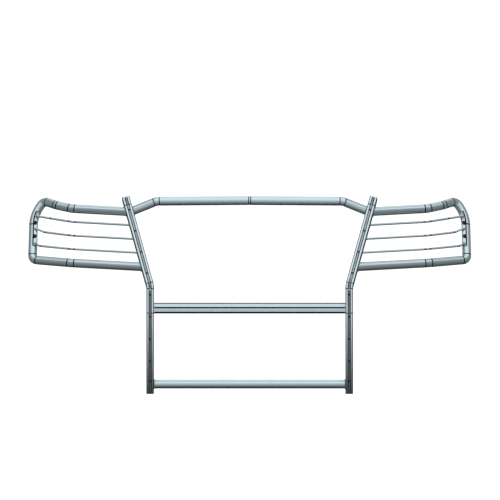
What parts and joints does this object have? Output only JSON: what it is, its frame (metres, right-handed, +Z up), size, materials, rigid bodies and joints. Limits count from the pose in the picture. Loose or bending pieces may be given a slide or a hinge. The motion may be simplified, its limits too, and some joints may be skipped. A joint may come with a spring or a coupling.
{
  "type": "front grille guard",
  "caption": "Front grille guard for a pickup: pressed channel uprights with rubber strips, tube cross members and swept headlight wings with rods.",
  "frame": {"origin": "midway between the two frame brackets, at the centre of their bolt patterns", "axes": "+X to the right seen from in front of the vehicle, +Y back towards the vehicle, +Z up"},
  "size_m": [1.905, 0.4742, 0.827],
  "materials": {
    "satin_steel": "fine satin polish, pale blue-grey",
    "dark_fastener": "black oxide, satin",
    "coated_bracket": "black powder coat, fine texture",
    "strip_rubber": "moulded rubber, satin grey",
    "cap_plastic": "moulded plastic, satin grey"
  },
  "bodies": {
    "root": {"riser_left": "satin_steel", "riser_right": "satin_steel", "top_cross_tube": "satin_steel", "cross_plate": "satin_steel", "bottom_cross_tube": "satin_steel", "wing_hoop_left": "satin_steel", "wing_hoop_right": "satin_steel", "wing_rod_left_1": "satin_steel", "wing_rod_left_2": "satin_steel", "wing_rod_left_3": "satin_steel", "wing_rod_right_1": "satin_steel", "wing_rod_right_2": "satin_steel", "wing_rod_right_3": "satin_steel", "rod_strap_left": "satin_steel", "rod_strap_right": "satin_steel", "strap_bolt_left_1": "dark_fastener", "strap_bolt_left_2": "dark_fastener", "strap_bolt_right_1": "dark_fastener", "strap_bolt_right_2": "dark_fastener", "frame_bracket_left": "coated_bracket", "frame_bracket_right": "coated_bracket", "lower_strip_left": "strip_rubber", "lower_strip_right": "strip_rubber", "upper_strip_left": "strip_rubber", "upper_strip_right": "strip_rubber", "knee_cap_left": "cap_plastic", "knee_cap_right": "cap_plastic", "top_cap_left": "cap_plastic", "top_cap_right": "cap_plastic", "strip_screw_left_1": "dark_fastener", "strip_screw_left_2": "dark_fastener", "strip_screw_left_3": "dark_fastener", "strip_screw_left_4": "dark_fastener", "strip_screw_left_5": "dark_fastener", "strip_screw_left_6": "satin_steel", "strip_screw_left_7": "dark_fastener", "strip_screw_left_8": "dark_fastener", "strip_screw_left_9": "dark_fastener", "strip_screw_left_10": "dark_fastener", "strip_screw_left_11": "satin_steel", "strip_screw_right_1": "dark_fastener", "strip_screw_right_2": "dark_fastener", "strip_screw_right_3": "dark_fastener", "strip_screw_right_4": "dark_fastener", "strip_screw_right_5": "dark_fastener", "strip_screw_right_6": "satin_steel", "strip_screw_right_7": "dark_fastener", "strip_screw_right_8": "dark_fastener", "strip_screw_right_9": "dark_fastener", "strip_screw_right_10": "dark_fastener", "strip_screw_right_11": "satin_steel"}
  },
  "joints": []
}
